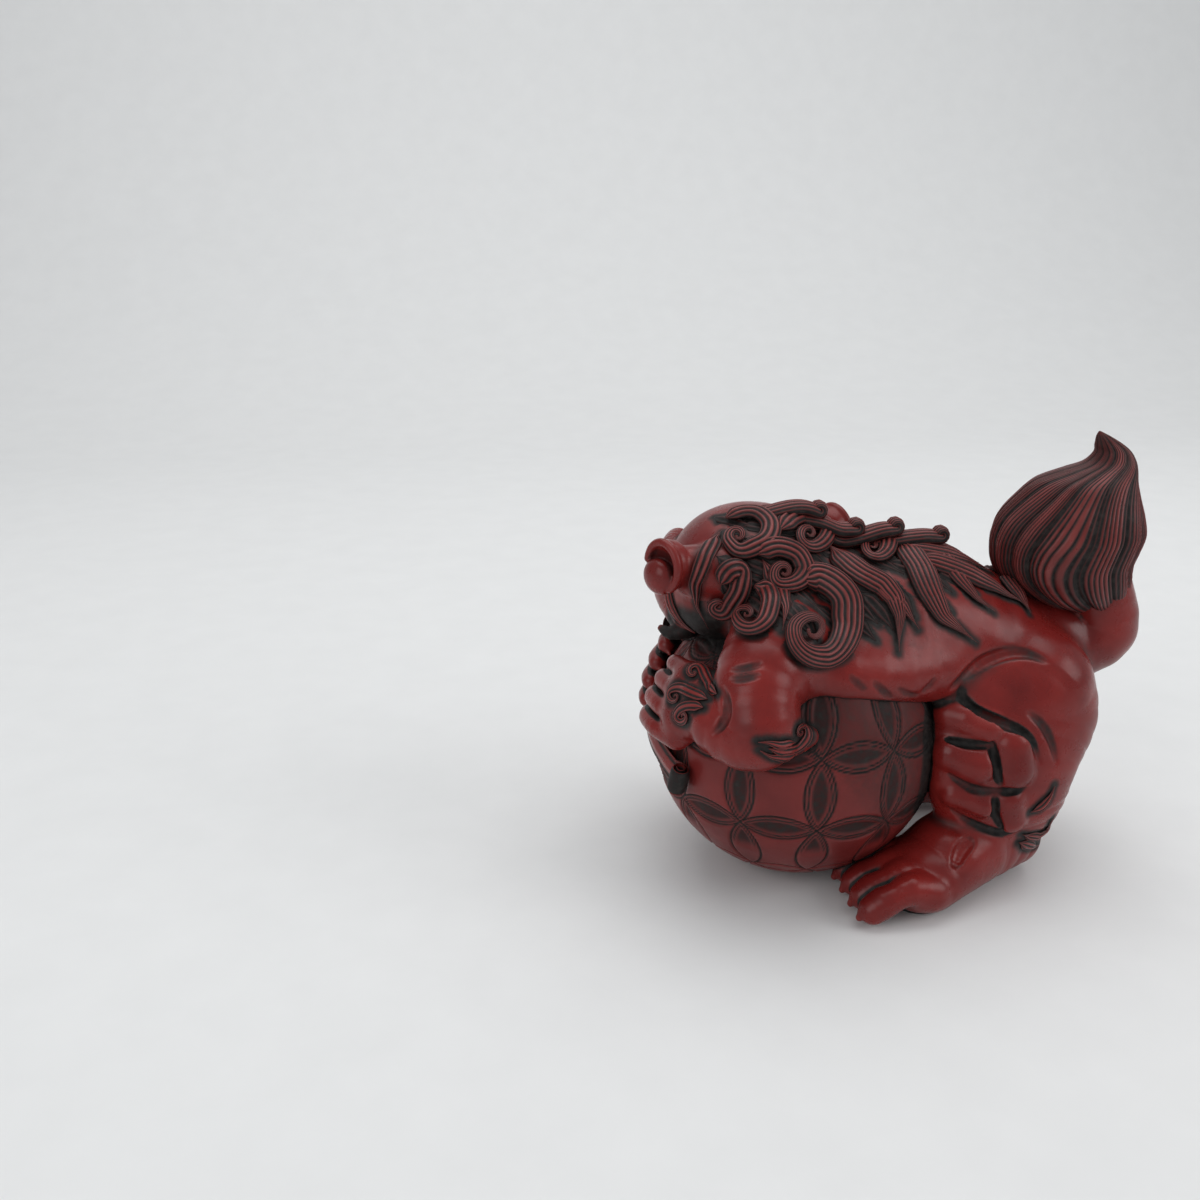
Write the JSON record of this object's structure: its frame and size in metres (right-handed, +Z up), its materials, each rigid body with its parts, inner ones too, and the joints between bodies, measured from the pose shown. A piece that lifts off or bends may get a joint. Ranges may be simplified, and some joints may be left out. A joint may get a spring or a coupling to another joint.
{
  "type": "foo dog bookend",
  "caption": "Free-standing guardian lion bookend: the lion crouches over a carved ball with its head turned back, a ribbon in its mouth and a flame tail.",
  "frame": {"origin": "centre of the felt under the ball, on the floor", "axes": "+X from the ball towards the tail, +Y to the lion's right side, +Z up"},
  "size_m": [0.1844, 0.1214, 0.155],
  "materials": {
    "resin": "satin dark red with black-brown antiquing in the grooves",
    "weight": "poured",
    "stopper": "matte",
    "felt": "felt",
    "dowel": "drawn"
  },
  "bodies": {
    "root": {"ball_shell": "resin", "ball_weight": "weight", "ball_stopper": "stopper", "base_felt": "felt", "foot_felts": "felt", "dowels": "dowel", "trunk": "resin", "head": "resin", "jaw": "resin", "ear_left": "resin", "ear_right": "resin", "mane_left": "resin", "mane_right": "resin", "crest": "resin", "foreleg_left": "resin", "foreleg_right": "resin", "paw_left": "resin", "paw_right": "resin", "hind_leg_left": "resin", "hind_leg_right": "resin", "hind_foot_left": "resin", "hind_foot_right": "resin", "tail_stem": "resin", "tail_plume": "resin", "ribbon": "resin"}
  },
  "joints": []
}
